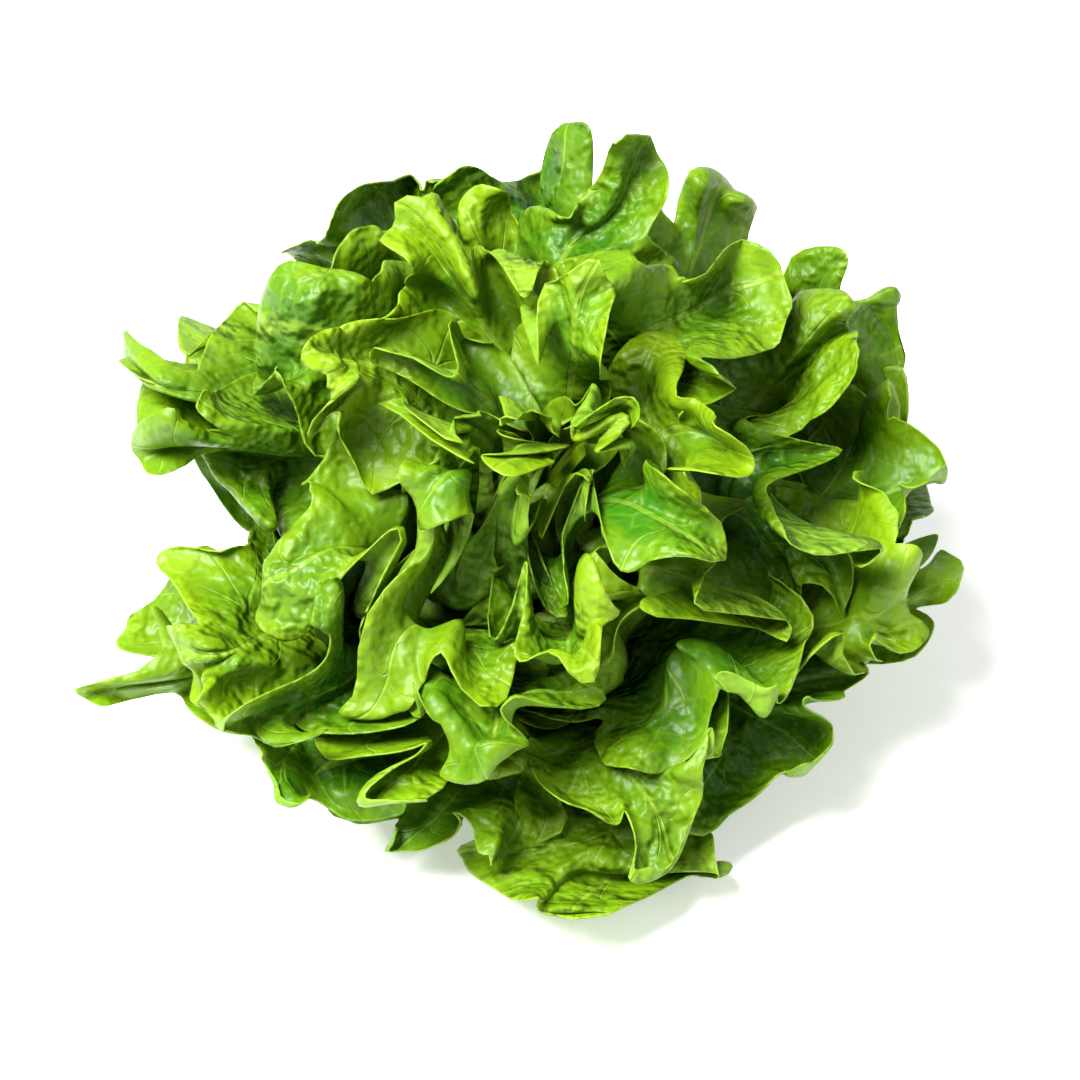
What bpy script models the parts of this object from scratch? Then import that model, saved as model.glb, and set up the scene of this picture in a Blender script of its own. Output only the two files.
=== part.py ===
"""Head of green oak leaf lettuce: a short cut stem and its lobed leaves, each its own solid.

The leaves sit on the stem in a golden-angle spiral, the outermost lowest. Every leaf is a blade laid on
a curved shell round the head's axis. The shells are nested like bowls, so leaves lie over one another,
and the bends of a blade's lobes stay in the space between its neighbours: a leaf that would cross another
is drawn again. The folds and ruffles that all the leaves share are made by sliding space along waves,
which keeps the leaves apart. The whole head leans to the front and rests on the rim of its cut foot and
on its lowest leaves.
"""

from functools import cache
from math import cos, pi, radians, sin

import bmesh
import bpy
import numpy as np
from mathutils.bvhtree import BVHTree

# Head, in metres and radians
LEAF_COUNT = 48
GOLDEN_ANGLE = radians(137.508)
FIRST_HEADING = radians(20)
HEAD_LEAN = radians(35)
SEED = 1198
DRAWS_PER_LEAF = 60

# Growth along the spiral: values at these stations, from the outermost leaf (0) to the innermost (1)
STATIONS = (0.0, 0.3, 0.6, 0.8, 1.0)
FOOT_RADII = (0.0150, 0.0145, 0.0130, 0.0095, 0.0040)
FOOT_LEVELS = (0.0080, 0.0210, 0.0350, 0.0430, 0.0490)
LENGTHS = (0.140, 0.136, 0.124, 0.108, 0.096)
HALF_WIDTHS = (0.053, 0.053, 0.046, 0.034, 0.020)
STALK_HALF_WIDTHS = (0.0070, 0.0065, 0.0050, 0.0030, 0.0014)
STALK_THICKNESSES = (0.0034, 0.0030, 0.0022, 0.0013, 0.0008)

# Angles along a leaf, in degrees from the head's axis, at the same stations
START_ANGLES = (60, 54, 42, 28, 4)
MIDDLE_ANGLES = (84, 57, 26, 9, -2)
END_ANGLES = (120, 91, 56, 28, 4)
TIP_CURLS = (0, 15, 38, 50, 60)
LOBE_BENDS = (50, 50, 34, 22, 24)

# Blade of a leaf
MIDRIB_SHARE = 0.74
BLADE_THICKNESS = 0.0008
LARGEST_VEIN_ANGLE = radians(95)
LOBE_BULGE = 0.6
LONGEST_SHELL = 1.25
ROOT_GAP = 0.0003
LEAF_GAP = 0.0003

# Waves that the leaves share. They start and reach their full height at these distances from the foot.
LONGEST_FOLD = 0.110
SHORTEST_FOLD = 0.055
FOLD_COUNT = 8
FOLD_SHARE = 0.078
FOLD_REACHES = (0.056, 0.126)
LONGEST_RUFFLE = 0.060
SHORTEST_RUFFLE = 0.028
RUFFLE_COUNT = 8
RUFFLE_SHARE = 0.075
RUFFLE_REACHES = (0.035, 0.135)
RUFFLE_RADIUS = 0.100
LARGEST_SLANT = 1.2
RUFFLE_SWIRL = 3.0
HEART_ANGLE = 0.8

# Where the head meets the surface it rests on
HUB_HEIGHT = 0.020
FREE_ELEVATION = radians(30)
STEEPEST_DROP = radians(76)
EASE_IN = radians(10)
SETTLE_REACHES = (0.040, 0.090)
FLAT_DEPTH = 0.0012

STEM_STEPS = 32
LEAF_GREENS = ((0.20, 0.42, 0.04, 1.0), (0.30, 0.52, 0.06, 1.0))
STEM_CREAM = (0.72, 0.74, 0.48, 1.0)


def mesh_steps(order):
    """Steps along the margin, steps from midrib to margin, and lobes, for a leaf of this age."""
    if order < 0.5:
        return 28, 3, 7
    if order < 0.76:
        return 24, 3, 5
    return 16, 3, 3


def grow(index, attempt):
    """The sizes of one leaf, the outermost first, with the draws of this attempt."""
    draw = np.random.default_rng(SEED * 1000 + LEAF_COUNT * attempt + index)
    order = index / (LEAF_COUNT - 1)
    steps, rings, lobes = mesh_steps(order)
    signs = draw.choice([-1.0, 1.0]) * (-1.0) ** np.arange(lobes)

    def at_order(values):
        return np.interp(order, STATIONS, values)

    bend = radians(at_order(LOBE_BENDS))
    return {
        "steps": steps,
        "rings": rings,
        "lobes": lobes,
        "pitch": 2.0 / (lobes + 0.5),
        "foot": (at_order(FOOT_RADII), at_order(FOOT_LEVELS)),
        "stalk": (at_order(STALK_HALF_WIDTHS), at_order(STALK_THICKNESSES)),
        "shell_length": at_order(LENGTHS),
        "angles": np.radians([at_order(t) for t in (START_ANGLES, MIDDLE_ANGLES, END_ANGLES, TIP_CURLS)]),
        "heading": FIRST_HEADING + index * GOLDEN_ANGLE + draw.uniform(-0.14, 0.14),
        "length": at_order(LENGTHS) * draw.uniform(0.92, 1.06),
        "half_width": at_order(HALF_WIDTHS) * draw.uniform(0.92, 1.08),
        "sweep": draw.uniform(-0.22, 0.22),
        "tilt": draw.uniform(-0.09, 0.09) * bend,
        "notch": draw.uniform(0.28, 0.42),
        "lobe_bends": signs * draw.uniform(0.5, 1.0, lobes) * bend,
        "lobe_rolls": draw.uniform(-1.0, 1.0, lobes) * bend,
        "lobe_lengths": draw.uniform(0.88, 1.1, lobes),
    }


def lobe_blend(leaf, around, values):
    """A value for each lobe, carried smoothly over the margin from the leaf's left foot to its right."""
    middle = (leaf["lobes"] - 1) / 2
    place = np.clip(around / leaf["pitch"] + middle, 0, leaf["lobes"] - 1)
    low = np.minimum(place.astype(int), leaf["lobes"] - 2)
    share = 0.5 - 0.5 * np.cos(pi * (place - low))
    return values[low] * (1 - share) + values[low + 1] * share


def blade(leaf, around, outward):
    """Across, along and height of the leaf's blade off its shell, its lobes bent up and down in turn.

    around runs -1..1 over the margin, outward 0..1 along a vein from the midrib.
    """
    # A vein is longest two thirds of the way from the tip to the stalk, where it is half the stalk wide
    pitch = leaf["pitch"]
    side = np.minimum(np.abs(around), 1)
    span = leaf["half_width"] * (0.8 + 1.3 * side**2) * (1 - side**3) ** 1.3
    span = span * (1 - leaf["notch"] * np.sin(pi * around / pitch) ** 4)
    span = span * lobe_blend(leaf, around, leaf["lobe_lengths"])
    span = np.sqrt(span**2 + leaf["stalk"][0] ** 2)

    # The vein keeps its length as it bends, and rolls up or down towards the margin
    share = (1 - side) ** 1.5
    along_vein = outward[:, None] * (np.arange(10) + 0.5) / 10
    bend = (lobe_blend(leaf, around, leaf["lobe_bends"]) * share)[:, None] * along_vein
    roll = (lobe_blend(leaf, around, leaf["lobe_rolls"]) * share)[:, None] * along_vein**4
    reach = span * outward * np.cos(bend + roll).mean(axis=1)
    height = span * outward * np.sin(bend + roll).mean(axis=1)

    # Veins fan out into round lobes, straight ahead at the tip and back past level at the stalk
    bulge = LOBE_BULGE * pitch / (2 * pi) * np.sin(2 * pi * around / pitch) * outward**2
    around = around + bulge * np.clip(3 * (1 - side), 0, 1)
    side = np.minimum(np.abs(around), 1)
    rib = MIDRIB_SHARE * leaf["length"] * (1 - side**1.5)
    angle = LARGEST_VEIN_ANGLE * (1 - (1 - side) ** 2.6)
    across = np.sign(around) * reach * np.sin(angle)
    along = rib + reach * np.cos(angle)
    return across, along, height + leaf["tilt"] * across * np.maximum(along / leaf["length"], 0)


def shell(leaf, across, along, height):
    """Points on the leaf's shell round the upright axis, at these distances across, along and off it."""
    steps = np.linspace(0, LONGEST_SHELL, 80)
    start, middle, end, curl = leaf["angles"]
    angles = start * (1 - steps) ** 2 + 2 * middle * steps * (1 - steps) + end * steps**2
    angles = angles + curl * np.minimum(steps, 1) ** 6
    steps = steps * leaf["shell_length"]
    foot_radius, foot_level = leaf["foot"]
    foot_radius = foot_radius + ROOT_GAP + leaf["stalk"][1] / 2
    radii = foot_radius + (np.cumsum(np.sin(angles)) - sin(start)) * steps[1]
    levels = foot_level + (np.cumsum(np.cos(angles)) - cos(start)) * steps[1]

    angle = np.interp(along, steps, angles)
    radius = np.interp(along, steps, radii)
    level = np.interp(along, steps, levels)
    share = along / leaf["length"]
    turn = across / np.hypot(radius, 0.75 * leaf["half_width"] * share)
    heading = leaf["heading"] + turn + leaf["sweep"] * share**2
    radius = radius - height * np.cos(angle)
    level = level + height * np.sin(angle)
    return np.stack([radius * np.cos(heading), radius * np.sin(heading), level], axis=-1)


def fade_in(distance, start, full):
    return np.clip((distance - start) / (full - start), 0, 1)


def fold(points):
    """Long waves that all the leaves share, each sliding space along its own crests, so that none cross."""
    draw = np.random.default_rng(SEED)
    for wavelength in np.geomspace(LONGEST_FOLD, SHORTEST_FOLD, FOLD_COUNT):
        forward = draw.normal(size=3)
        forward /= np.linalg.norm(forward)
        sideways = np.cross(forward, draw.normal(size=3))
        sideways /= np.linalg.norm(sideways)
        swing = np.sin(points @ forward * 2 * pi / wavelength + draw.uniform(0, 2 * pi))
        swing = swing * fade_in(np.linalg.norm(points, axis=-1), *FOLD_REACHES)
        points = points + FOLD_SHARE * wavelength * swing[..., None] * sideways
    return points


def ruffle(points):
    """Short waves that turn the blades to and from the head's axis, about the hub, shared by all leaves."""
    draw = np.random.default_rng(SEED + 1)
    level = points[..., 2] - HUB_HEIGHT
    flat = np.hypot(points[..., 0], points[..., 1])
    reach = np.hypot(flat, level)
    azimuth = np.arctan2(points[..., 1], points[..., 0])
    polar = np.arctan2(flat, level)
    growth = fade_in(reach, *RUFFLE_REACHES) ** 1.5
    for wavelength in np.geomspace(LONGEST_RUFFLE, SHORTEST_RUFFLE, RUFFLE_COUNT):
        slant = draw.uniform(-LARGEST_SLANT, LARGEST_SLANT)
        turns = round(2 * pi * RUFFLE_RADIUS * cos(slant) / wavelength)
        phase = turns * azimuth + sin(slant) * 2 * pi * reach / wavelength
        phase = phase + RUFFLE_SWIRL * polar + draw.uniform(0, 2 * pi)
        height = RUFFLE_SHARE * wavelength * growth * np.minimum(1, polar / HEART_ANGLE)
        polar = polar + height / RUFFLE_RADIUS * np.sin(phase)
    flat = reach * np.sin(polar)
    level = HUB_HEIGHT + reach * np.cos(polar)
    return np.stack([flat * np.cos(azimuth), flat * np.sin(azimuth), level], axis=-1)


def lean(points):
    """Tips the upright head to the front, about the front edge of its foot, which sinks just below z = 0."""
    x, y, z = points[..., 0], points[..., 1] + FOOT_RADII[0], points[..., 2]
    front = y * cos(HEAD_LEAN) - z * sin(HEAD_LEAN)
    up = y * sin(HEAD_LEAN) + z * cos(HEAD_LEAN) - FLAT_DEPTH
    return np.stack([x, front, up], axis=-1)


def settle(points):
    """Bends what would reach below the surface up to lie on it, in arcs about the head's hub."""
    hub = lean(np.array([0.0, 0.0, HUB_HEIGHT]))
    offset = points - hub
    reach = np.maximum(np.linalg.norm(offset, axis=-1), 1e-9)
    elevation = np.arcsin(offset[..., 2] / reach)
    room = FREE_ELEVATION + np.arcsin(np.minimum(1.0, hub[2] / reach))
    pace = (room - EASE_IN) / (STEEPEST_DROP - EASE_IN)
    drop = np.maximum(FREE_ELEVATION - elevation, 0)
    eased = pace * drop + (1 - pace) * EASE_IN * (1 - np.exp(-drop / EASE_IN))
    elevation = elevation + fade_in(reach, *SETTLE_REACHES) * (drop - eased)
    level = np.maximum(np.hypot(offset[..., 0], offset[..., 1]), 1e-9)
    turn = reach * np.cos(elevation) / level
    return hub + np.stack([offset[..., 0] * turn, offset[..., 1] * turn, reach * np.sin(elevation)], axis=-1)


def leaf_points(leaf, around, outward):
    """Points on the leaf in the head at rest, and its stoutness: 0 in the blade, 1 at the stalk's foot."""
    across, along, height = blade(leaf, around, outward)
    stoutness = np.clip(1 - along / leaf["length"], 0, 1) * np.exp(-np.abs(across) / (1.5 * leaf["stalk"][0]))
    return settle(lean(fold(ruffle(shell(leaf, across, along, height))))), stoutness


def leaf_sheet(leaf):
    """The leaf's middle surface in triangles, with its stoutness as vertex weights."""
    mesh = bmesh.new()
    bmesh.ops.create_grid(mesh, x_segments=leaf["steps"], y_segments=leaf["rings"], size=1)
    grid = np.array([vert.co for vert in mesh.verts])
    points, stoutness = leaf_points(leaf, grid[:, 0], (grid[:, 1] + 1) / 2)
    group = mesh.verts.layers.deform.verify()
    for vert, point, weight in zip(mesh.verts, points, stoutness):
        vert.co = point
        vert[group][0] = weight
    bmesh.ops.remove_doubles(mesh, verts=mesh.verts, dist=1e-6)
    bmesh.ops.triangulate(mesh, faces=mesh.faces)
    mesh.normal_update()
    mesh.verts.index_update()
    return mesh


@cache
def leaf_room(index, attempt):
    """The surface of the leaf's solid, moved out by half the gap that it keeps to its neighbours."""
    leaf = grow(index, attempt)
    mesh = leaf_sheet(leaf)
    group = mesh.verts.layers.deform.verify()
    upper, lower = [], []
    for vert in mesh.verts:
        thickness = BLADE_THICKNESS + (leaf["stalk"][1] - BLADE_THICKNESS) * vert[group][0]
        upper.append(vert.co + vert.normal * ((thickness + LEAF_GAP) / 2))
        lower.append(vert.co - vert.normal * ((thickness + LEAF_GAP) / 2))
    count = len(mesh.verts)
    faces = [[vert.index for vert in face.verts] for face in mesh.faces]
    rim = [[vert.index for vert in edge.verts] for edge in mesh.edges if edge.is_boundary]
    faces += [[first + count, second + count, third + count] for first, second, third in faces]
    faces += [[first, second, second + count, first + count] for first, second in rim]
    mesh.free()
    return BVHTree.FromPolygons(upper + lower, faces)


@cache
def crossings(one, other):
    return len(leaf_room(*one).overlap(leaf_room(*other)))


def trouble(index, attempt, taken):
    """How often the leaf would cross the others."""
    others = [(other, chosen) for other, chosen in enumerate(taken) if other != index]
    return sum(crossings(*sorted([(index, attempt), other])) for other in others)


def clear_attempts():
    """Which attempt each leaf takes: one leaf that crosses another draws again, until no two cross."""
    draw = np.random.default_rng(SEED)
    taken = [0] * LEAF_COUNT
    while True:
        troubled = [index for index, attempt in enumerate(taken) if trouble(index, attempt, taken)]
        if not troubled:
            return taken
        index = int(draw.choice(troubled))
        attempts = draw.permutation(DRAWS_PER_LEAF).tolist()
        taken[index] = min(attempts, key=lambda attempt: trouble(index, attempt, taken))


def new_object(name, mesh, colour, roughness, collection):
    """An object of this mesh, with a material of its own."""
    data = bpy.data.meshes.new(name)
    mesh.to_mesh(data)
    mesh.free()
    material = bpy.data.materials.new(name)
    material.use_nodes = True
    shader = material.node_tree.nodes["Principled BSDF"]
    shader.inputs["Base Color"].default_value = colour
    shader.inputs["Roughness"].default_value = roughness
    data.materials.append(material)
    thing = bpy.data.objects.new(name, data)
    collection.objects.link(thing)
    return thing


def make_stem(head, helpers):
    """The cut stem: a profile turned round its axis, tipped with the head and cut flat where it rests."""
    radii = (0.0, *FOOT_RADII[::-1], FOOT_RADII[0], 0.0)
    levels = (FOOT_LEVELS[-1], *FOOT_LEVELS[::-1], 0.0, 0.0)
    mesh = bmesh.new()
    verts = [mesh.verts.new((radius, 0.0, level)) for radius, level in zip(radii, levels)]
    for pair in zip(verts, verts[1:]):
        mesh.edges.new(pair)
    stem = new_object("stem", mesh, STEM_CREAM, 0.5, head)
    stem.location = lean(np.zeros(3))
    stem.rotation_euler.x = HEAD_LEAN
    screw = stem.modifiers.new("turned", "SCREW")
    screw.steps = STEM_STEPS
    screw.render_steps = STEM_STEPS
    screw.use_merge_vertices = True
    screw.merge_threshold = 1e-5

    mesh = bmesh.new()
    bmesh.ops.create_cube(mesh, size=4 * FOOT_RADII[0])
    cutter = new_object("below_the_surface", mesh, STEM_CREAM, 0.5, helpers)
    cutter.location.z = -2 * FOOT_RADII[0]
    cutter.hide_render = True
    cutter.display_type = "WIRE"
    flat = stem.modifiers.new("flat", "BOOLEAN")
    flat.object = cutter
    flat.solver = "EXACT"


def make_leaf(index, attempt, head):
    """One leaf: its sheet thickened alike on both sides, from the blade to the stouter stalk."""
    leaf = grow(index, attempt)
    thing = new_object(f"leaf_{index + 1:02d}", leaf_sheet(leaf), LEAF_GREENS[index % 2], 0.45, head)
    thing.vertex_groups.new(name="stoutness")
    solid = thing.modifiers.new("thickness", "SOLIDIFY")
    solid.thickness = leaf["stalk"][1]
    solid.offset = 0
    solid.vertex_group = "stoutness"
    solid.thickness_vertex_group = BLADE_THICKNESS / leaf["stalk"][1]


for leftover in list(bpy.data.objects):
    bpy.data.objects.remove(leftover)
lettuce = bpy.data.collections.new("oak_leaf_lettuce")
cutters = bpy.data.collections.new("cutters")
bpy.context.scene.collection.children.link(lettuce)
bpy.context.scene.collection.children.link(cutters)
make_stem(lettuce, cutters)
for number, chosen_attempt in enumerate(clear_attempts()):
    make_leaf(number, chosen_attempt, lettuce)
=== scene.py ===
"""Looks of a head of green oak leaf lettuce: its table and light, its cut foot and its 48 leaves.

Each fine leaf repeats the formulas of the CAD leaf that it replaces, at more points, and adds the frills,
rolled rims and crumples of the real blade. Its material adds the veins and the blisters.
"""

from math import cos, pi, radians, sin

import bmesh
import bpy
import numpy as np
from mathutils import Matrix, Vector


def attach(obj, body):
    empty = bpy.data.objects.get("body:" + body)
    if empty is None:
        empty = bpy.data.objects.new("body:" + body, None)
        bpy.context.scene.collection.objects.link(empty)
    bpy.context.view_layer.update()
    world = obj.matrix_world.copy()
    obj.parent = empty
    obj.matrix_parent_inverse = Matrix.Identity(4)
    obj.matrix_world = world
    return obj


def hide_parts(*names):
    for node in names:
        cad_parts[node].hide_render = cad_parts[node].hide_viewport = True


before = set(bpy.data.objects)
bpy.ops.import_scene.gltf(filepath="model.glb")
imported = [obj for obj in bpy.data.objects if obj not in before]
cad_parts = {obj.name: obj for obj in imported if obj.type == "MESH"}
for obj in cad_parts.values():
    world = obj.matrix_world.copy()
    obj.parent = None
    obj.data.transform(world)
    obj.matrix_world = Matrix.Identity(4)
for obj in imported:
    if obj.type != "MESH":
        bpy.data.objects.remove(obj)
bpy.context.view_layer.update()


# The surface: a plain white table top that glows a little by itself, a painted glow in place of light from
# below as in a light tent, so that the shadow of the head stays pale.
TABLE_SIZE = 40.0
TABLE_WHITE = (0.93, 0.93, 0.93, 1)
TABLE_GLOW = 0.35

table_mesh = bmesh.new()
bmesh.ops.create_grid(table_mesh, x_segments=1, y_segments=1, size=TABLE_SIZE / 2)
table = bpy.data.objects.new("table", bpy.data.meshes.new("table"))
table_mesh.to_mesh(table.data)
table_mesh.free()
bpy.context.scene.collection.objects.link(table)
white = bpy.data.materials.new("white_table")
white.use_nodes = True
table_shader = white.node_tree.nodes["Principled BSDF"]
table_shader.inputs["Base Color"].default_value = TABLE_WHITE
table_shader.inputs["Roughness"].default_value = 0.6
table_shader.inputs["Emission Color"].default_value = (1, 1, 1, 1)
table_shader.inputs["Emission Strength"].default_value = TABLE_GLOW
table.data.materials.append(white)


# The light and the camera: a large soft lamp high on the left in front, a weak one on the right and a bright
# even room round them. The camera looks down on the heart, nearly along the head's axis.
CAMERA_ELEVATION = radians(40)
CAMERA_DISTANCE = 0.835
CAMERA_LENS = 85
VIEW_CENTRE = Vector((0.004, -0.019, 0.053))
ROOM_BRIGHTNESS = 0.48

bpy.context.scene.view_settings.view_transform = "Standard"
bpy.context.scene.view_settings.look = "None"


def add_lamp(name, place, size, power, colour):
    """A square soft lamp that faces the head."""
    light = bpy.data.lights.new(name, "AREA")
    light.size = size
    light.energy = power
    light.color = colour
    lamp = bpy.data.objects.new(name, light)
    bpy.context.scene.collection.objects.link(lamp)
    lamp.location = place
    lamp.rotation_euler = (VIEW_CENTRE - lamp.location).to_track_quat("-Z", "Y").to_euler()


add_lamp("key_lamp", place=(-0.50, -0.30, 1.05), size=0.60, power=50, colour=(1.0, 0.98, 0.95))
add_lamp("fill_lamp", place=(0.90, -0.60, 0.70), size=0.90, power=3, colour=(1.0, 1.0, 1.0))

world = bpy.data.worlds.new("bright_room")
world.use_nodes = True
world.node_tree.nodes["Background"].inputs["Color"].default_value = (1, 1, 1, 1)
world.node_tree.nodes["Background"].inputs["Strength"].default_value = ROOM_BRIGHTNESS
bpy.context.scene.world = world

camera = bpy.data.objects.new("camera", bpy.data.cameras.new("camera"))
camera.data.lens = CAMERA_LENS
bpy.context.scene.collection.objects.link(camera)
towards_camera = Vector((0, -cos(CAMERA_ELEVATION), sin(CAMERA_ELEVATION)))
camera.location = VIEW_CENTRE + CAMERA_DISTANCE * towards_camera
camera.rotation_euler = (-towards_camera).to_track_quat("-Z", "Y").to_euler()
bpy.context.scene.camera = camera


# The cut foot: a short stout stalk of cream-green flesh, faintly ribbed, cut straight across with a knife.
# It lies on the front edge of that cut. It is turned from its profile and sliced flat where it rests.
HEAD_LEAN = radians(35)
FLAT_DEPTH = 0.0012
FOOT_RADII = (0.0150, 0.0145, 0.0130, 0.0095, 0.0040)
FOOT_LEVELS = (0.0080, 0.0210, 0.0350, 0.0430, 0.0490)
FOOT_LEVEL_STEPS = np.linspace(0, FOOT_LEVELS[-1], 48)
FOOT_BEVEL = 0.0007
FOOT_RIBS = 9
FOOT_RIB_TWIST = 60
FOOT_RIB_DEPTH = 0.00025
FOOT_STEPS = 96
CUT_RINGS = 11

FLESH_CREAM = (0.50, 0.53, 0.25, 1)
FLESH_GREEN = (0.26, 0.38, 0.07, 1)
CUT_CREAM = (0.62, 0.60, 0.38, 1)
BUNDLE_CREAM = (0.72, 0.74, 0.52, 1)
BRUISED_BROWN = (0.30, 0.17, 0.06, 1)
SPECK_OLIVE = (0.34, 0.33, 0.14, 1)
BUNDLE_RING = 0.0105


def lean(points):
    """Tips the upright head to the front, about the front edge of its foot, which sinks just below z = 0."""
    x, y, z = points[..., 0], points[..., 1] + FOOT_RADII[0], points[..., 2]
    front = y * cos(HEAD_LEAN) - z * sin(HEAD_LEAN)
    up = y * sin(HEAD_LEAN) + z * cos(HEAD_LEAN) - FLAT_DEPTH
    return np.stack([x, front, up], axis=-1)


def stem_piece(material):
    """Spins the foot's profile, ribs it, tips it over and slices it off at the surface."""
    levels = np.concatenate([[0.0], FOOT_LEVEL_STEPS[FOOT_LEVEL_STEPS > FOOT_BEVEL]])
    radii = np.interp(levels, (0.0, *FOOT_LEVELS), (FOOT_RADII[0], *FOOT_RADII))
    radii[0] -= FOOT_BEVEL
    cut_face = [(radii[0] * ring / CUT_RINGS, 0.0) for ring in range(CUT_RINGS)]
    profile = cut_face + list(zip(radii, levels)) + [(0.0, FOOT_LEVELS[-1])]
    turned = bmesh.new()
    verts = [turned.verts.new((radius, 0.0, level)) for radius, level in profile]
    edges = [turned.edges.new(pair) for pair in zip(verts, verts[1:])]
    bmesh.ops.spin(turned, geom=verts + edges, cent=(0, 0, 0), axis=(0, 0, 1), angle=2 * pi,
                   steps=FOOT_STEPS, use_merge=True)
    bmesh.ops.remove_doubles(turned, verts=turned.verts[:], dist=1e-6)
    places = np.array([vert.co for vert in turned.verts])
    azimuth = np.arctan2(places[:, 1], places[:, 0])
    rib = FOOT_RIB_DEPTH * np.cos(FOOT_RIBS * azimuth + FOOT_RIB_TWIST * places[:, 2])
    radius = np.hypot(places[:, 0], places[:, 1])
    scale = 1 + rib / FOOT_RADII[0] * (radius > 0.4 * FOOT_RADII[0])
    places[:, :2] *= scale[:, None]
    for vert, point in zip(turned.verts, lean(places)):
        vert.co = point
    below = bmesh.ops.bisect_plane(turned, geom=turned.verts[:] + turned.edges[:] + turned.faces[:],
                                   plane_co=(0, 0, 0), plane_no=(0, 0, 1), clear_inner=True)
    cut_edges = [part for part in below["geom_cut"] if isinstance(part, bmesh.types.BMEdge)]
    bmesh.ops.edgeloop_fill(turned, edges=cut_edges)
    bmesh.ops.recalc_face_normals(turned, faces=turned.faces)
    mesh = bpy.data.meshes.new("cut_stem")
    turned.to_mesh(mesh)
    turned.free()
    mesh.shade_smooth()
    mesh.materials.append(material)
    piece = bpy.data.objects.new("cut_stem", mesh)
    bpy.context.scene.collection.objects.link(piece)
    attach(piece, "root")
    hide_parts("stem")


class Shade:
    """A socket in a material's node tree. Sums written on it become Math nodes.

    Without a socket it stands for the tree alone, to start from.
    """

    def __init__(self, tree, socket=None):
        self.tree = tree
        self.socket = socket

    def node(self, kind, settings=None, inputs=None, output=0):
        """A node of this kind, its settings set first and then its sockets, by name or number."""
        made = self.tree.nodes.new(f"ShaderNode{kind}")
        for name, setting in (settings or {}).items():
            setattr(made, name, setting)
        for name, value in (inputs or {}).items():
            if isinstance(value, Shade):
                self.tree.links.new(value.socket, made.inputs[name])
            else:
                made.inputs[name].default_value = value
        return Shade(self.tree, made.outputs[output])

    def math(self, operation, *values):
        return self.node("Math", {"operation": operation}, dict(enumerate(values)))

    def __add__(self, other):
        return self.math("ADD", self, other)

    __radd__ = __add__

    def __sub__(self, other):
        return self.math("SUBTRACT", self, other)

    def __rsub__(self, other):
        return self.math("SUBTRACT", other, self)

    def __mul__(self, other):
        return self.math("MULTIPLY", self, other)

    __rmul__ = __mul__

    def __abs__(self):
        return self.math("ABSOLUTE", self)

    def rise(self, low, high):
        """0 below low and 1 above high, with a smooth step between; from 1 to 0 where high is below low."""
        if low > high:
            return 1 - self.rise(high, low)
        settings = {"interpolation_type": "SMOOTHSTEP"}
        return self.node("MapRange", settings, {"Value": self, "From Min": low, "From Max": high})

    def blend(self, low, high):
        """The colour that stands between two others by this share."""
        return self.node("Mix", {"data_type": "RGBA"}, {0: self, 6: low, 7: high}, output=2)

    def tint(self, share, colour):
        """This colour, mixed towards another by a share."""
        return share.blend(self, colour)

    def noise(self, scale, detail, output=0):
        """Soft noise at this place, with about this many lumps to a metre; output 1 is its colour."""
        values = {"Vector": self, "Scale": scale, "Detail": detail}
        return self.node("TexNoise", {"noise_dimensions": "3D"}, values, output)


def stem_material():
    """Cream flesh, greener up the stalk, with a paler ring of bundles and a browned rim on the cut face."""
    material = bpy.data.materials.new("cut_stem")
    material.use_nodes = True
    tree = material.node_tree
    shader = tree.nodes["Principled BSDF"]
    start = Shade(tree)
    place = start.node("TexCoord", output=3)
    foot = Vector(lean(np.zeros(3)))
    up = Vector((0, -sin(HEAD_LEAN), cos(HEAD_LEAN)))
    offset = start.node("VectorMath", {"operation": "SUBTRACT"}, {0: place, 1: foot})
    level = start.node("VectorMath", {"operation": "DOT_PRODUCT"}, {0: offset, 1: up}, output=1)
    reach = start.node("VectorMath", {"operation": "LENGTH"}, {0: offset}, output=1)
    cut = level.rise(0.0005, 0.0001)
    mottle = place.noise(420.0, 3.0)
    blush = place.noise(110.0, 2.0)
    colour = level.rise(0.002, 0.040).blend(FLESH_CREAM, FLESH_GREEN)
    colour = colour.tint(cut * 0.7, CUT_CREAM)
    ring = abs(reach - BUNDLE_RING + (blush - 0.5) * 0.002).rise(0.0012, 0.0002)
    colour = colour.tint(cut * ring * 0.5, BUNDLE_CREAM)
    rim = (reach + (mottle - 0.5) * 0.004).rise(0.0115, 0.0150)
    browned = cut * rim + cut * blush.rise(0.55, 0.75) * 0.5
    colour = colour.tint(browned * 0.6, BRUISED_BROWN)
    colour = colour.tint(mottle.rise(0.55, 0.8) * 0.3, SPECK_OLIVE)
    tree.links.new(colour.socket, shader.inputs["Base Color"])
    rough = 0.5 - cut * 0.15 + (mottle - 0.5) * 0.2
    tree.links.new(rough.socket, shader.inputs["Roughness"])
    bump = start.node("Bump", inputs={"Height": mottle * 0.0002, "Distance": 1.0, "Strength": 0.6})
    tree.links.new(bump.socket, shader.inputs["Normal"])
    shader.inputs["Specular IOR Level"].default_value = 0.3
    return material


stem_piece(stem_material())


# The outer leaves: sixteen large soft blades on stout pale stalks, with seven rounded lobes each, spread out
# from the foot. They grow on a spiral, so their shells are nested and their waves shared.
LEAF_COUNT = 48
GOLDEN_ANGLE = radians(137.508)
FIRST_HEADING = radians(20)
SEED = 1198
DRAWS_PER_LEAF = 60

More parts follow.
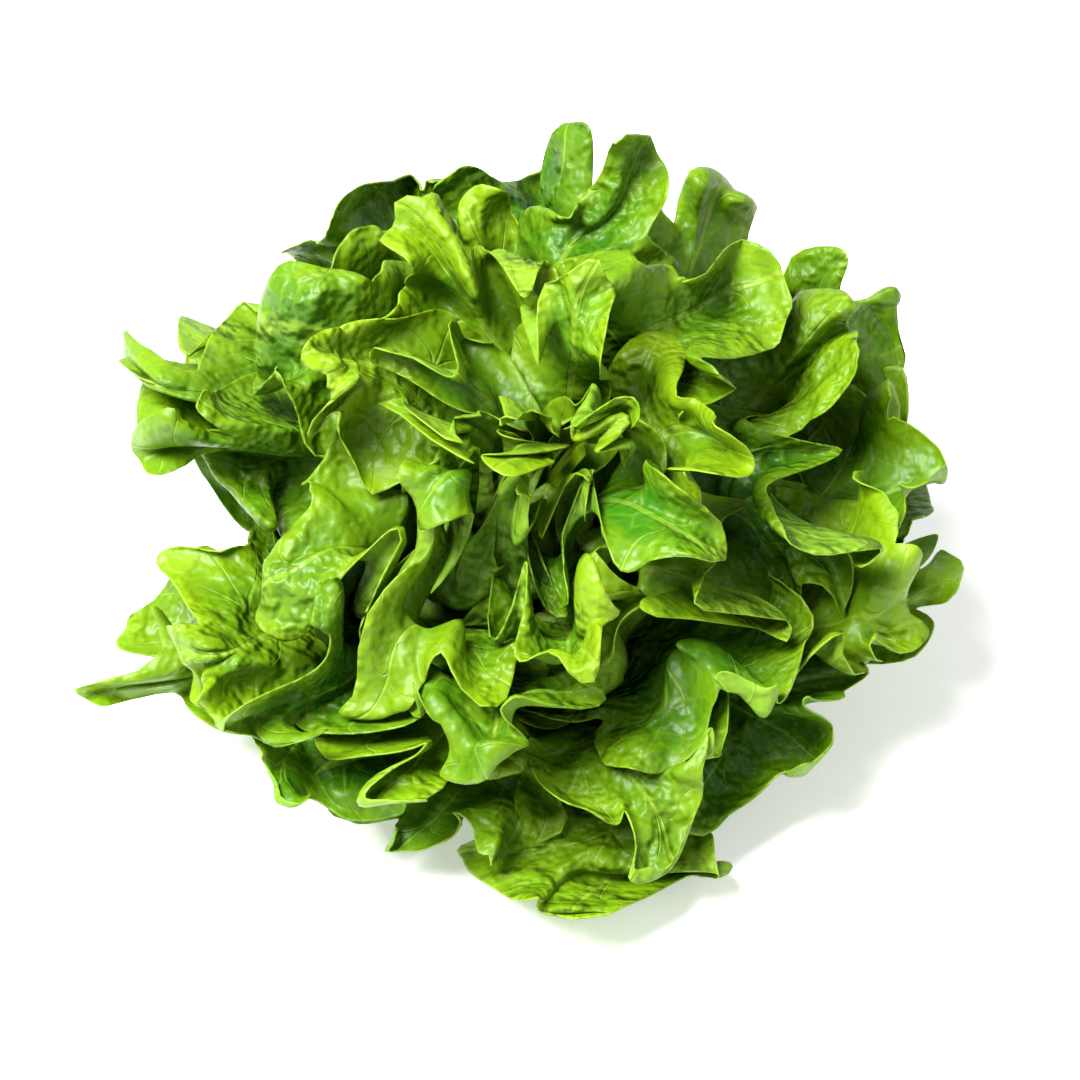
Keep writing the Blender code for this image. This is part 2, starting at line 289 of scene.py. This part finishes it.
# From the outermost leaf to the innermost; angles are measured from the head's axis
STATIONS = (0.0, 0.3, 0.6, 0.8, 1.0)
LENGTHS = (0.140, 0.136, 0.124, 0.108, 0.096)
HALF_WIDTHS = (0.053, 0.053, 0.046, 0.034, 0.020)
STALK_HALF_WIDTHS = (0.0070, 0.0065, 0.0050, 0.0030, 0.0014)
STALK_THICKNESSES = (0.0034, 0.0030, 0.0022, 0.0013, 0.0008)
START_ANGLES = (60, 54, 42, 28, 4)
MIDDLE_ANGLES = (84, 57, 26, 9, -2)
END_ANGLES = (120, 91, 56, 28, 4)
TIP_CURLS = (0, 15, 38, 50, 60)
LOBE_BENDS = (50, 50, 34, 22, 24)

# Blade and shell
MIDRIB_SHARE = 0.74
LARGEST_VEIN_ANGLE = radians(95)
LOBE_BULGE = 0.6
LONGEST_SHELL = 1.25
ROOT_GAP = 0.0003

# Waves that the leaves share
HUB_HEIGHT = 0.020
FOLD_LENGTHS = np.geomspace(0.110, 0.055, 8)
FOLD_SHARE = 0.078
FOLD_REACHES = (0.056, 0.126)
RUFFLE_LENGTHS = np.geomspace(0.060, 0.028, 8)
RUFFLE_SHARE = 0.075
RUFFLE_REACHES = (0.035, 0.135)
RUFFLE_RADIUS = 0.100
LARGEST_SLANT = 1.2
RUFFLE_SWIRL = 3.0
HEART_ANGLE = 0.8

# How the low leaves come to lie on the table
FREE_ELEVATION = radians(30)
STEEPEST_DROP = radians(76)
EASE_IN = radians(10)
SETTLE_REACHES = (0.040, 0.090)

# Fine form that the CAD leaf has not: the heart drawn up and stirred, crumples, frills (their length, height
# and how late they set in), rounder lobes (scallops by count and depth), far lobes drawn in, thin rims
MOUND_RISE = 0.010
MOUND_DRAW = 0.12
MOUND_RADIUS = 0.052
MOUND_REACHES = (0.045, 0.110)
TOUSLE_LENGTHS = np.geomspace(0.055, 0.024, 7)
TOUSLE_SHARE = 0.075
CRUMPLE_LENGTHS = np.geomspace(0.052, 0.019, 8)
CRUMPLE_SHARE = 0.062
CRUMPLE_ANGLE = 0.2
CRUMPLE_REACHES = (0.03, 0.07)
FRILLS = ((0.044, 0.0115, 1.8), (0.018, 0.0014, 5))
FRILL_HEART_LENGTH = 0.55
FRILL_HEART_HEIGHT = 0.75
FRILL_OUTER_HEIGHT = 1.3
LOBE_DOME = 0.008
SCALLOPS = ((3.3, 0.016), (7.1, 0.010))
FINE_BULGE = 0.75
FINE_NOTCH = 0.06
FINE_NOTCH_POWER = 2.2
REACH_FREE = 0.137
REACH_BEYOND = 0.45
FLOAT_LEVEL = 0.003
BLADE_THICKNESS = 0.0006
RIM_THICKNESS = 0.0004

# Steps over the margin and out from the midrib, by the number of lobes, and how they crowd to the rim
GRID_STEPS = {7: (220, 28), 5: (164, 24), 3: (120, 20)}
RING_CROWDING = 0.75
VEIN_STEP = 0.002

OUTER_LEAVES = range(0, 16)
OUTER_SHADE_GREEN = (0.006, 0.070, 0.0001, 1)
OUTER_LIGHT_GREEN = (0.125, 0.234, 0.0006, 1)
NET_GREEN = (0.18, 0.31, 0.006, 1)
VEIN_GREEN = (0.25, 0.36, 0.035, 1)
RIM_GREEN_AND_EDGE_LIGHT = (0.23, 0.36, 0.02, 1)
PAINTED_DEPTH_SHADE = (0.004, 0.045, 0.0001, 1)
STALK_CREAM = (0.45, 0.52, 0.22, 1)
UNDERSIDE_GREEN = (0.16, 0.30, 0.022, 1)
NET_WARP = (0.005, 0.005, 0.005)
TONE_TURN = 12.9898


def lobe_count(order):
    return 7 if order < 0.5 else 5 if order < 0.76 else 3


def grow(index, attempt):
    """The sizes of one leaf, the outermost first, with the draws of this attempt."""
    draw = np.random.default_rng(SEED * 1000 + LEAF_COUNT * attempt + index)
    order = index / (LEAF_COUNT - 1)
    lobes = lobe_count(order)
    signs = draw.choice([-1.0, 1.0]) * (-1.0) ** np.arange(lobes)

    def at_order(values):
        return np.interp(order, STATIONS, values)

    bend = radians(at_order(LOBE_BENDS))
    return {
        "order": order,
        "lobes": lobes,
        "pitch": 2.0 / (lobes + 0.5),
        "foot": (at_order(FOOT_RADII), at_order(FOOT_LEVELS)),
        "stalk": (at_order(STALK_HALF_WIDTHS), at_order(STALK_THICKNESSES)),
        "shell_length": at_order(LENGTHS),
        "angles": np.radians([at_order(t) for t in (START_ANGLES, MIDDLE_ANGLES, END_ANGLES, TIP_CURLS)]),
        "heading": FIRST_HEADING + index * GOLDEN_ANGLE + draw.uniform(-0.14, 0.14),
        "length": at_order(LENGTHS) * draw.uniform(0.92, 1.06),
        "half_width": at_order(HALF_WIDTHS) * draw.uniform(0.92, 1.08),
        "sweep": draw.uniform(-0.22, 0.22),
        "tilt": draw.uniform(-0.09, 0.09) * bend,
        "notch": draw.uniform(0.28, 0.42),
        "lobe_bends": signs * draw.uniform(0.5, 1.0, lobes) * bend,
        "lobe_rolls": draw.uniform(-1.0, 1.0, lobes) * bend,
        "lobe_lengths": draw.uniform(0.88, 1.1, lobes),
        "rim_rolls": np.zeros(lobes),
        "bulge": LOBE_BULGE,
        "notch_power": 4,
        "scallops": (),
    }


def lobe_blend(leaf, around, values):
    """A value for each lobe, carried smoothly over the margin from the leaf's left foot to its right."""
    middle = (leaf["lobes"] - 1) / 2
    place = np.clip(around / leaf["pitch"] + middle, 0, leaf["lobes"] - 1)
    low = np.minimum(place.astype(int), leaf["lobes"] - 2)
    share = 0.5 - 0.5 * np.cos(pi * (place - low))
    return values[low] * (1 - share) + values[low + 1] * share


def blade(leaf, around, outward):
    """Across, along and height of the leaf's blade off its shell, its lobes bent up and down in turn.

    around runs -1..1 over the margin, outward 0..1 along a vein from the midrib.
    """
    pitch = leaf["pitch"]
    side = np.minimum(np.abs(around), 1)
    span = leaf["half_width"] * (0.8 + 1.3 * side**2) * (1 - side**3) ** 1.3
    span = span * (1 - leaf["notch"] * np.abs(np.sin(pi * around / pitch)) ** leaf["notch_power"])
    for count, depth, phase in leaf["scallops"]:
        span = span * (1 - depth * np.sin(2 * pi * count * around / pitch + phase))
    span = span * lobe_blend(leaf, around, leaf["lobe_lengths"])
    span = np.sqrt(span**2 + leaf["stalk"][0] ** 2)

    share = (1 - side) ** 1.5
    along_vein = outward[:, None] * (np.arange(20) + 0.5) / 20
    bend = (lobe_blend(leaf, around, leaf["lobe_bends"]) * share)[:, None] * along_vein
    roll = (lobe_blend(leaf, around, leaf["lobe_rolls"]) * share)[:, None] * along_vein**4
    roll = roll + (lobe_blend(leaf, around, leaf["rim_rolls"]) * share**0.5)[:, None] * along_vein**5
    reach = span * outward * np.cos(bend + roll).mean(axis=1)
    height = span * outward * np.sin(bend + roll).mean(axis=1)

    bulge = leaf["bulge"] * pitch / (2 * pi) * np.sin(2 * pi * around / pitch) * outward**2
    around = around + bulge * np.clip(3 * (1 - side), 0, 1)
    side = np.minimum(np.abs(around), 1)
    rib = MIDRIB_SHARE * leaf["length"] * (1 - side**1.5)
    angle = LARGEST_VEIN_ANGLE * (1 - (1 - side) ** 2.6)
    across = np.sign(around) * reach * np.sin(angle)
    along = rib + reach * np.cos(angle)
    return across, along, height + leaf["tilt"] * across * np.maximum(along / leaf["length"], 0)


def shell(leaf, across, along, height):
    """Points on the leaf's shell round the upright axis, at these distances across, along and off it."""
    steps = np.linspace(0, LONGEST_SHELL, 80)
    start, middle, end, curl = leaf["angles"]
    angles = start * (1 - steps) ** 2 + 2 * middle * steps * (1 - steps) + end * steps**2
    angles = angles + curl * np.minimum(steps, 1) ** 6
    steps = steps * leaf["shell_length"]
    foot_radius, foot_level = leaf["foot"]
    foot_radius = foot_radius + ROOT_GAP + leaf["stalk"][1] / 2
    radii = foot_radius + (np.cumsum(np.sin(angles)) - sin(start)) * steps[1]
    levels = foot_level + (np.cumsum(np.cos(angles)) - cos(start)) * steps[1]

    angle = np.interp(along, steps, angles)
    radius = np.interp(along, steps, radii)
    level = np.interp(along, steps, levels)
    share = along / leaf["length"]
    turn = across / np.hypot(radius, 0.75 * leaf["half_width"] * share)
    heading = leaf["heading"] + turn + leaf["sweep"] * share**2
    radius = radius - height * np.cos(angle)
    level = level + height * np.sin(angle)
    return np.stack([radius * np.cos(heading), radius * np.sin(heading), level], axis=-1)


def fade_in(distance, start, full):
    return np.clip((distance - start) / (full - start), 0, 1)


def slide(points, wavelengths, share, seed, weight):
    """Waves that all the leaves share, each sliding space along its own crests, so that none cross."""
    draw = np.random.default_rng(seed)
    for wavelength in wavelengths:
        forward = draw.normal(size=3)
        forward /= np.linalg.norm(forward)
        sideways = np.cross(forward, draw.normal(size=3))
        sideways /= np.linalg.norm(sideways)
        swing = np.sin(points @ forward * 2 * pi / wavelength + draw.uniform(0, 2 * pi))
        swing = swing * weight(points)
        points = points + share * wavelength * swing[..., None] * sideways
    return points


def past_the_hub(points):
    return fade_in(np.linalg.norm(points, axis=-1), *FOLD_REACHES)


def ruffle(points, wavelengths, share, seed, calm_angle):
    """Short waves that turn the blades to and from the head's axis, about the hub, shared by all leaves."""
    draw = np.random.default_rng(seed)
    level = points[..., 2] - HUB_HEIGHT
    flat = np.hypot(points[..., 0], points[..., 1])
    reach = np.hypot(flat, level)
    azimuth = np.arctan2(points[..., 1], points[..., 0])
    polar = np.arctan2(flat, level)
    growth = fade_in(reach, *RUFFLE_REACHES) ** 1.5
    for wavelength in wavelengths:
        slant = draw.uniform(-LARGEST_SLANT, LARGEST_SLANT)
        turns = round(2 * pi * RUFFLE_RADIUS * cos(slant) / wavelength)
        phase = turns * azimuth + sin(slant) * 2 * pi * reach / wavelength
        phase = phase + RUFFLE_SWIRL * polar + draw.uniform(0, 2 * pi)
        height = share * wavelength * growth * np.minimum(1, polar / calm_angle)
        polar = polar + height / RUFFLE_RADIUS * np.sin(phase)
    flat = reach * np.sin(polar)
    level = HUB_HEIGHT + reach * np.cos(polar)
    return np.stack([flat * np.cos(azimuth), flat * np.sin(azimuth), level], axis=-1)


def settle(points):
    """Bends what would reach below the surface up to lie on it, in arcs about the head's hub."""
    hub = lean(np.array([0.0, 0.0, HUB_HEIGHT]))
    offset = points - hub
    reach = np.maximum(np.linalg.norm(offset, axis=-1), 1e-9)
    elevation = np.arcsin(offset[..., 2] / reach)
    room = FREE_ELEVATION + np.arcsin(np.minimum(1.0, hub[2] / reach))
    pace = (room - EASE_IN) / (STEEPEST_DROP - EASE_IN)
    drop = np.maximum(FREE_ELEVATION - elevation, 0)
    eased = pace * drop + (1 - pace) * EASE_IN * (1 - np.exp(-drop / EASE_IN))
    elevation = elevation + fade_in(reach, *SETTLE_REACHES) * (drop - eased)
    level = np.maximum(np.hypot(offset[..., 0], offset[..., 1]), 1e-9)
    turn = reach * np.cos(elevation) / level
    return hub + np.stack([offset[..., 0] * turn, offset[..., 1] * turn, reach * np.sin(elevation)], axis=-1)


def in_head(points):
    """Points of the upright head, carried to where it lies."""
    return settle(lean(slide(points, FOLD_LENGTHS, FOLD_SHARE, SEED, past_the_hub)))


def leaf_points(leaf, around, outward):
    """Points on the leaf as the CAD has it."""
    points = shell(leaf, *blade(leaf, around, outward))
    return in_head(ruffle(points, RUFFLE_LENGTHS, RUFFLE_SHARE, SEED + 1, HEART_ANGLE))


def attempt_of(index):
    """The draw that the CAD leaf was built from: the one whose margin lies on that node."""
    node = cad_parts[f"leaf_{index + 1:02d}"]
    corners = np.array([vert.co for vert in node.data.vertices])
    for attempt in range(DRAWS_PER_LEAF):
        margin = leaf_points(grow(index, attempt), np.array([-0.5, 0.0, 0.5]), np.ones(3))
        if np.linalg.norm(margin[:, None] - corners, axis=-1).min(axis=1).max() < 0.001:
            return attempt
    raise ValueError(f"no draw fits leaf {index + 1}")


def in_the_heart(points):
    """1 in the heart of the head, well above its hub, and less around it."""
    radius = np.hypot(points[..., 0], points[..., 1])
    reach = np.hypot(radius, points[..., 2] - HUB_HEIGHT)
    return np.exp(-((radius / MOUND_RADIUS) ** 2)) * fade_in(reach, *MOUND_REACHES)


def mound(points):
    """Lifts the heart and draws it together, so that no hollow is left round the head's axis."""
    near = in_the_heart(points)
    drawn = 1 - MOUND_DRAW * near
    level = points[..., 2] + MOUND_RISE * near
    return np.stack([points[..., 0] * drawn, points[..., 1] * drawn, level], axis=-1)


def crumple(points, weight):
    """Short waves in all directions that turn the blades to and from the axis, shared by all leaves."""
    draw = np.random.default_rng(SEED + 2)
    start = points
    for wavelength in CRUMPLE_LENGTHS:
        forward = draw.normal(size=3)
        forward /= np.linalg.norm(forward)
        level = points[..., 2] - HUB_HEIGHT
        flat = np.maximum(np.hypot(points[..., 0], points[..., 1]), 1e-6)
        reach = np.hypot(flat, level)
        polar = np.arctan2(flat, level)
        swing = np.sin(points @ forward * 2 * pi / wavelength + draw.uniform(0, 2 * pi))
        swing = swing * fade_in(reach, *CRUMPLE_REACHES) * np.minimum(1, polar / CRUMPLE_ANGLE)
        turned = polar + CRUMPLE_SHARE * wavelength / np.maximum(reach, 1e-6) * swing
        out = reach * np.sin(turned) / flat
        level = HUB_HEIGHT + reach * np.cos(turned)
        points = np.stack([points[..., 0] * out, points[..., 1] * out, level], axis=-1)
    return start + weight[:, None] * (points - start)


def frill(leaf, around, outward, draw):
    """Height of each lobe's cup or dome and of the waves that grow towards the margin."""
    margin = np.linspace(-1, 1, 241)
    edge = np.stack(blade(leaf, margin, np.ones_like(margin)))
    edge_steps = np.linalg.norm(np.diff(edge, axis=1), axis=0)
    arc = np.interp(around, margin, np.append(0, np.cumsum(edge_steps)))
    size = np.interp(leaf["order"], (0.2, 1.0), (1.0, FRILL_HEART_LENGTH))
    swell = np.interp(leaf["order"], (0.0, 0.35, 1.0), (FRILL_OUTER_HEIGHT, 1.0, FRILL_HEART_HEIGHT))
    calm = np.clip(3 * (1 - np.minimum(np.abs(around), 1)), 0, 1)
    dome = LOBE_DOME * size * lobe_blend(leaf, around, leaf["rim_rolls"])
    height = dome * np.sin(pi * around / leaf["pitch"]) ** 2 * outward**2 * calm
    for length, tall, onset in FRILLS:
        phase = 2 * pi * arc / (length * size) + draw.uniform(0, 2 * pi)
        phase = phase + np.sin(0.31 * phase + draw.uniform(0, 2 * pi))
        loud = 0.7 + 0.3 * np.sin(0.23 * phase + draw.uniform(0, 2 * pi))
        height = height + tall * swell * loud * np.sin(phase) * outward**onset * calm
    return height


def tuck(points):
    """Draws in the lobes that stick out of the head's round outline."""
    offset = points - np.array([0.0, 0.0, HUB_HEIGHT])
    reach = np.maximum(np.linalg.norm(offset, axis=1), 1e-6)
    drawn = reach - (1 - REACH_BEYOND) * np.maximum(reach - REACH_FREE, 0)
    return points + offset * (drawn / reach - 1)[:, None]


def finished(leaf):
    """The leaf with rounder lobes, each cupped with its rim rolled forward or domed with it rolled back.

    Most lobes of the outer leaves are cupped, and about half of those further in.
    """
    draw = np.random.default_rng(round(leaf["order"] * 1000))
    cupped_share = np.interp(leaf["order"], (0.25, 0.4), (0.85, 0.5))
    domed = draw.uniform(0, 1, leaf["lobes"]) > cupped_share
    return leaf | {
        "rim_rolls": np.where(domed, -1, 1) * draw.uniform(0.6, 1.5, leaf["lobes"]),
        "lobe_lengths": np.clip(leaf["lobe_lengths"], 0.97, 1.03),
        "bulge": FINE_BULGE,
        "notch": leaf["notch"] + FINE_NOTCH,
        "notch_power": FINE_NOTCH_POWER,
        "scallops": [(count, depth, draw.uniform(0, 2 * pi)) for count, depth in SCALLOPS],
        "frill_seed": draw.integers(1000000),
    }


def float_up(level):
    """Levels that end just above the surface, for those that would dip below it."""
    afloat = FLOAT_LEVEL * np.exp(np.minimum(level / FLOAT_LEVEL, 1) - 1)
    return np.where(level < FLOAT_LEVEL, afloat, level)


def fine_points(leaf, around, outward):
    """Points on the finished leaf where it lies, with their places across and along the flat blade."""
    across, along, height = blade(leaf, around, outward)
    height = height + frill(leaf, around, outward, np.random.default_rng(leaf["frill_seed"]))
    points = mound(shell(leaf, across, along, height))
    points = slide(points, TOUSLE_LENGTHS, TOUSLE_SHARE, SEED + 3, in_the_heart)
    points = ruffle(points, RUFFLE_LENGTHS, RUFFLE_SHARE, SEED + 1, HEART_ANGLE)
    points = crumple(points, 0.6 + 0.4 * outward)
    points = in_head(tuck(points))
    points[:, 2] = float_up(points[:, 2])
    return points, across, along


def add_values(mesh, name, *values):
    """Up to three values at each vertex, for the material to read."""
    vectors = np.zeros((len(mesh.vertices), 3), np.float32)
    vectors[:, :len(values)] = np.stack(values, axis=1)
    attribute = mesh.attributes.new(name, "FLOAT_VECTOR", "POINT")
    attribute.data.foreach_set("vector", vectors.ravel())


def folded_grid(steps, rings):
    """A grid with x over the leaf's margin and y out from its midrib, where its edge is joined in a fold."""
    sheet = bmesh.new()
    bmesh.ops.create_grid(sheet, x_segments=steps, y_segments=rings, size=1)
    midrib = [vert for vert in sheet.verts if vert.co.y < -0.999]
    for vert in midrib:
        vert.co.x = abs(vert.co.x)
    bmesh.ops.remove_doubles(sheet, verts=midrib, dist=1e-5)
    return sheet


def thicken(sheet, points, thickness):
    """Lays the sheet through these points as a closed shell, half its thickness to either side.

    Gives the number that each vertex had on the sheet, and 1 where it is on the underside.
    """
    for vert, point in zip(sheet.verts, points):
        vert.co = point
    sheet.normal_update()
    normals = np.array([vert.normal for vert in sheet.verts])
    source = sheet.verts.layers.int.new("source")
    for number, vert in enumerate(sheet.verts):
        vert[source] = number
    underside = set(sheet.verts)
    bmesh.ops.extrude_face_region(sheet, geom=sheet.faces[:])
    origin = np.array([vert[source] for vert in sheet.verts])
    under = np.array([1.0 if vert in underside else 0.0 for vert in sheet.verts])
    offset = (under - 0.5) * thickness[origin]
    for vert, point in zip(sheet.verts, points[origin] + normals[origin] * offset[:, None]):
        vert.co = point
    bmesh.ops.recalc_face_normals(sheet, faces=sheet.faces)
    if sheet.calc_volume(signed=True) < 0:
        bmesh.ops.reverse_faces(sheet, faces=sheet.faces)
    return origin, under


def leaf_piece(index, material):
    """One fine leaf: a folded grid laid through its points, stout at the stalk and thin at the rim."""
    leaf = finished(grow(index, attempt_of(index)))
    sheet = folded_grid(*GRID_STEPS[leaf["lobes"]])
    places = np.array([vert.co for vert in sheet.verts])
    around = places[:, 0]
    outward = ((places[:, 1] + 1) / 2) ** RING_CROWDING
    points, across, along = fine_points(leaf, around, outward)
    beyond = fine_points(leaf, around + VEIN_STEP, outward)[0]
    vein_scale = np.linalg.norm(beyond - points, axis=1) / VEIN_STEP * leaf["pitch"]

    stalk_half_width, stalk_thickness = leaf["stalk"]
    stoutness = np.exp(-np.abs(across) / (1.5 * stalk_half_width))
    stoutness = stoutness * np.clip(1 - along / leaf["length"], 0, 1)
    thickness = BLADE_THICKNESS + (stalk_thickness - BLADE_THICKNESS) * stoutness
    thickness = thickness + (RIM_THICKNESS - BLADE_THICKNESS) * np.clip(outward * 12 - 11, 0, 1)
    origin, under = thicken(sheet, points, thickness)

    name = f"fine_leaf_{index + 1:02d}"
    mesh = bpy.data.meshes.new(name)
    sheet.to_mesh(mesh)
    sheet.free()
    vein = np.abs(around) / leaf["pitch"]
    tone = 0.5 + 0.5 * sin(TONE_TURN * (index + 1))
    add_values(mesh, "blade_place", across[origin], along[origin])
    add_values(mesh, "vein_place", vein[origin], outward[origin], vein_scale[origin])
    add_values(mesh, "side_tone", under, np.full_like(under, tone))
    mesh.shade_smooth()
    mesh.materials.append(material)
    piece = bpy.data.objects.new(name, mesh)
    bpy.context.scene.collection.objects.link(piece)
    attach(piece, "root")
    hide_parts(f"leaf_{index + 1:02d}")


def vertex_values(start, name, count):
    """The first values that add_values gave the vertices under this name."""
    vector = start.node("Attribute", {"attribute_name": name}, output=1)
    return [start.node("SeparateXYZ", inputs={0: vector}, output=number) for number in range(count)]


def leaf_material(name, shade_green, light_green):
    """A waxy green blade with paler veins and a rim pale partly by painted edge light, blistered between the
    veins, its underside more matt, with painted light and shade in its colour.
    """
    material = bpy.data.materials.new(name)
    material.use_nodes = True
    tree = material.node_tree
    shader = tree.nodes["Principled BSDF"]
    start = Shade(tree)
    place = start.node("TexCoord", output=3)
    across, along = vertex_values(start, "blade_place", 2)
    vein, outward, scale = vertex_values(start, "vein_place", 3)
    under, tone = vertex_values(start, "side_tone", 2)

    # Veins: the midrib, one side vein to each lobe with a fork, and a net between them
    wobble = place.noise(90.0, 0.0) - 0.5
    taper = along.rise(0.120, 0.02)
    midrib = (abs(across) + wobble * 0.0006 - taper * 0.0016).rise(0.0008, 0.0002)
    side = abs(start.math("FRACT", vein + 0.5) - 0.5)
    side_vein = (side * scale + wobble * 0.0016 + outward * 0.0004).rise(0.0011, 0.0002)
    fork = abs(side - 0.26 * outward.rise(0.25, 0.95))
    fork_vein = (fork * scale + wobble * 0.002 + outward * 0.0003).rise(0.0008, 0.0001)
    fork_vein = fork_vein * outward.rise(0.25, 0.4)
    main_vein = start.math("MAXIMUM", midrib, start.math("MAXIMUM", side_vein, fork_vein))
    warp = place.noise(90.0, 0.0, output=1)
    shift = start.node("VectorMath", {"operation": "MULTIPLY_ADD"}, {0: warp, 1: NET_WARP, 2: place})
    net = {"voronoi_dimensions": "3D", "feature": "DISTANCE_TO_EDGE"}
    net_vein = start.node("TexVoronoi", net, {"Vector": shift, "Scale": 115.0}).rise(0.09, 0.01)

    # Blisters between the veins, stronger on some parts of a leaf than on others
    strength = 0.55 + place.noise(22.0, 0.0).rise(0.44, 0.64)
    bumps = place.noise(100.0, 2.0)
    height = bumps.rise(0.3, 0.7) * strength * 0.0024 - main_vein * 0.0003 * (1 - under * 2)
    bump = start.node("Bump", inputs={"Height": height, "Distance": 1.0, "Strength": 0.9})
    tree.links.new(bump.socket, shader.inputs["Normal"])

    # Colour: blotched at random and by leaf, with painted light lighter outwards and on the blister crests,
    # painted shade in the blister hollows and down in the head, and pale at the stalk
    blotch = place.noise(30.0, 2.0)
    # Painted light and shade: the blister term lightens the crests and darkens the hollows, and the outward
    # term lightens the blade towards its margin.
    shade = (blotch - 0.5) + tone * 0.4 + (bumps - 0.5) * 0.5 + outward.rise(0.45, 1.0) * 0.35 + 0.14
    colour = shade.blend(shade_green, light_green)
    colour = colour.tint(net_vein * 0.16, NET_GREEN)
    colour = colour.tint(main_vein * 0.30, VEIN_GREEN)
    # Pale rim at the margin: partly the margin's own paler green, partly painted light caught by the thin
    # edge.
    colour = colour.tint(outward.rise(0.975, 0.995) * (blotch * 1.4 - 0.4), RIM_GREEN_AND_EDGE_LIGHT)
    hub = lean(np.array([0.0, 0.0, HUB_HEIGHT]))
    hub_distance = start.node("VectorMath", {"operation": "DISTANCE"}, {0: place, 1: hub}, output=1)
    # Painted shade: darker green deep in the head, near its hub, where little light reaches.
    colour = colour.tint(hub_distance.rise(0.135, 0.065) * 0.5, PAINTED_DEPTH_SHADE)
    colour = colour.tint(along.rise(0.055, 0.005) * 0.8, STALK_CREAM)
    colour = colour.tint(under * 0.35 + 0.06, UNDERSIDE_GREEN)
    tree.links.new(colour.socket, shader.inputs["Base Color"])
    rough = 0.43 + under * 0.10 + (blotch - 0.5) * 0.2
    tree.links.new(rough.socket, shader.inputs["Roughness"])
    shader.inputs["Subsurface Weight"].default_value = 0.12
    shader.inputs["Subsurface Radius"].default_value = (0.55, 1.0, 0.12)
    shader.inputs["Subsurface Scale"].default_value = 0.002
    shader.inputs["Specular IOR Level"].default_value = 0.24
    return material


outer_green = leaf_material("outer_leaf", OUTER_SHADE_GREEN, OUTER_LIGHT_GREEN)
for number in OUTER_LEAVES:
    leaf_piece(number, outer_green)


# The middle leaves: eighteen shorter blades, still soft and lobed, a little lighter than the outer ones.
# They stand up round the heart and arch outwards from it.
MIDDLE_LEAVES = range(16, 34)
MIDDLE_SHADE_GREEN = (0.008, 0.080, 0.0001, 1)
MIDDLE_LIGHT_GREEN = (0.140, 0.248, 0.0006, 1)

middle_green = leaf_material("middle_leaf", MIDDLE_SHADE_GREEN, MIDDLE_LIGHT_GREEN)
for number in MIDDLE_LEAVES:
    leaf_piece(number, middle_green)


# The heart leaves: fourteen small young blades, the lightest in colour. They stand upright and crowded round
# the head's axis, with their frilled tips turned outwards.
HEART_LEAVES = range(34, LEAF_COUNT)
HEART_SHADE_GREEN = (0.016, 0.106, 0.0002, 1)
HEART_LIGHT_GREEN = (0.172, 0.274, 0.0012, 1)

heart_green = leaf_material("heart_leaf", HEART_SHADE_GREEN, HEART_LIGHT_GREEN)
for number in HEART_LEAVES:
    leaf_piece(number, heart_green)
